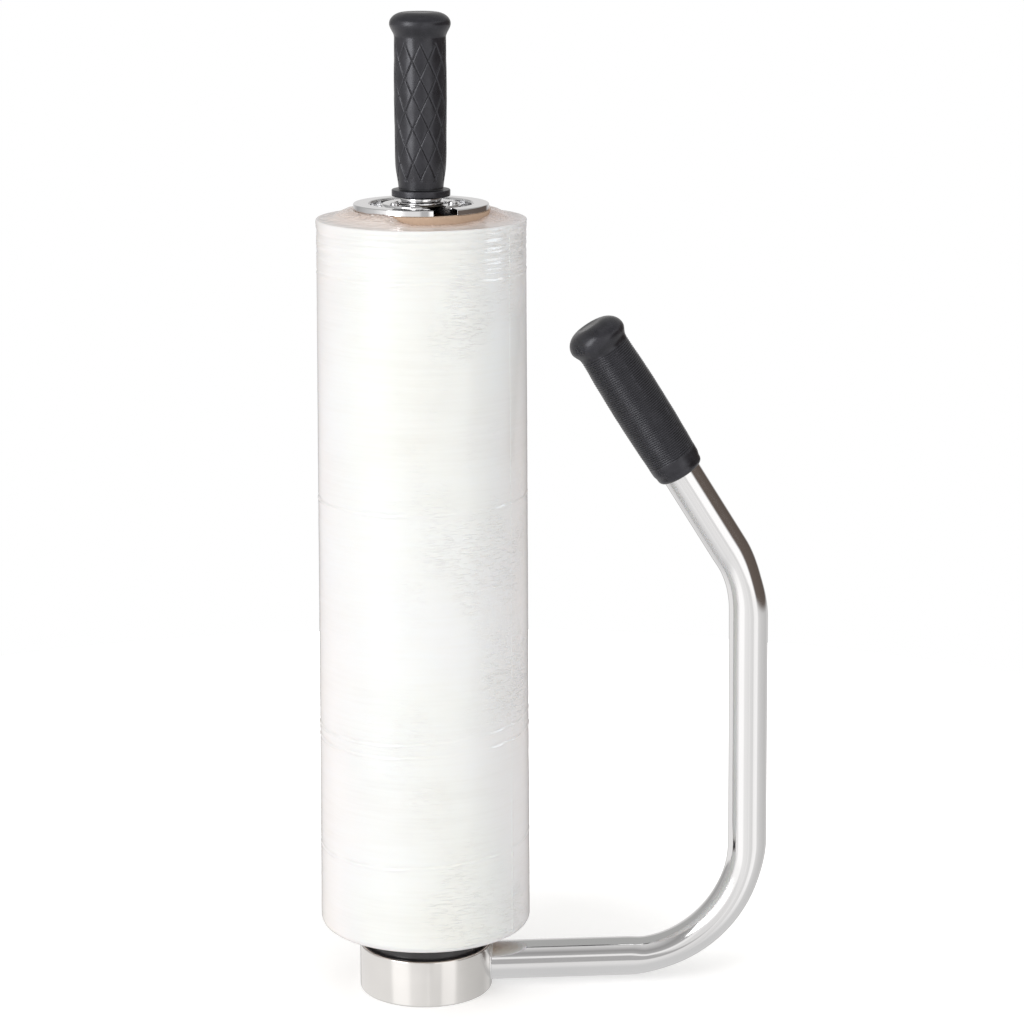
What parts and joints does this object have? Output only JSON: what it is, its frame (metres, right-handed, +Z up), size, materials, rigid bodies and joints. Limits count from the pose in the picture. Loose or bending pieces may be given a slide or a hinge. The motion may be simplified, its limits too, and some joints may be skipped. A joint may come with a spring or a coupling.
{
  "type": "hand stretch film dispenser",
  "caption": "Hand-held stretch film dispenser: roll on a turning hub in a steel cup, bent side arm, slotted top disc and a screw-down brake handle, both with rubber grips.",
  "frame": {"origin": "centre of the flat underside of the cup, on the spindle's axis", "axes": "+Z up the spindle towards the top handle, +X from the spindle towards the side arm's root"},
  "size_m": [0.2915, 0.136, 0.6301],
  "materials": {
    "cup_steel": "polished stainless steel with fine turning lines",
    "chromed_tube": "bright chrome plate",
    "disc_chrome": "bright chrome plate",
    "grip_rubber": "soft satin moulded rubber",
    "black_plastic": "glossy black moulding",
    "stretch_film": "wound clear stretch film, milky and glossy",
    "core_board": "spiral-wound brown board",
    "turned_steel": "turned and zinc plated",
    "bearing_steel": "ground and polished",
    "spring_steel": "drawn spring wire",
    "blackened_steel": "black oxide",
    "cage_brass": "pressed brass",
    "friction_lining": "fibre friction lining"
  },
  "bodies": {
    "frame": {"cup_ring": "cup_steel", "cup_floor": "cup_steel", "side_arm": "chromed_tube", "arm_weld": "cup_steel", "side_grip": "grip_rubber", "spindle": "turned_steel", "spindle_screw": "blackened_steel", "base_spacer": "turned_steel", "race_spacer": "turned_steel", "hub_circlip": "blackened_steel", "lower_inner_race": "bearing_steel", "upper_inner_race": "bearing_steel", "friction_washer": "friction_lining", "pressure_washer": "disc_chrome", "thrust_collar": "disc_chrome", "brake_spring": "spring_steel", "stop_washer": "turned_steel", "stop_screw": "blackened_steel"},
    "roll": {"lower_outer_race": "bearing_steel", "upper_outer_race": "bearing_steel", "core_hub": "black_plastic", "roll_core": "core_board", "film_roll": "stretch_film", "core_plug": "black_plastic", "top_disc": "disc_chrome", "disc_screws": "disc_chrome"},
    "lower_ball_train": {"lower_balls": "bearing_steel", "lower_cage": "cage_brass"},
    "upper_ball_train": {"upper_balls": "bearing_steel", "upper_cage": "cage_brass"},
    "brake_carriage": {"spring_seat": "turned_steel"},
    "top_handle": {"handle_nut": "turned_steel", "handle_tube": "turned_steel", "top_grip": "grip_rubber"}
  },
  "joints": [
    {"name": "roll_spin", "type": "hinge", "parent": "frame", "child": "roll", "pos_m": [0, 0, 0], "axis": [0, 0, 1], "continuous": true},
    {"name": "lower_ball_spin", "type": "hinge", "parent": "frame", "child": "lower_ball_train", "pos_m": [0, 0, 0.0205], "axis": [0, 0, 1], "continuous": true},
    {"name": "upper_ball_spin", "type": "hinge", "parent": "frame", "child": "upper_ball_train", "pos_m": [0, 0, 0.0545], "axis": [0, 0, 1], "continuous": true},
    {"name": "brake_travel", "type": "slide", "parent": "frame", "child": "brake_carriage", "axis": [0, 0, 1], "range_m": [0, 0.006], "deforming": ["brake_spring"]},
    {"name": "handle_turn", "type": "hinge", "parent": "brake_carriage", "child": "top_handle", "pos_m": [0, 0, 0.55], "axis": [0, 0, 1], "range_deg": [0, 1234.3]}
  ],
  "couplings": [
    {"joint": "lower_ball_spin", "follows": "roll_spin", "ratio": 0.60128},
    {"joint": "upper_ball_spin", "follows": "roll_spin", "ratio": 0.60128},
    {"joint": "handle_turn", "follows": "brake_travel", "rad_per_m": 3590.4}
  ]
}
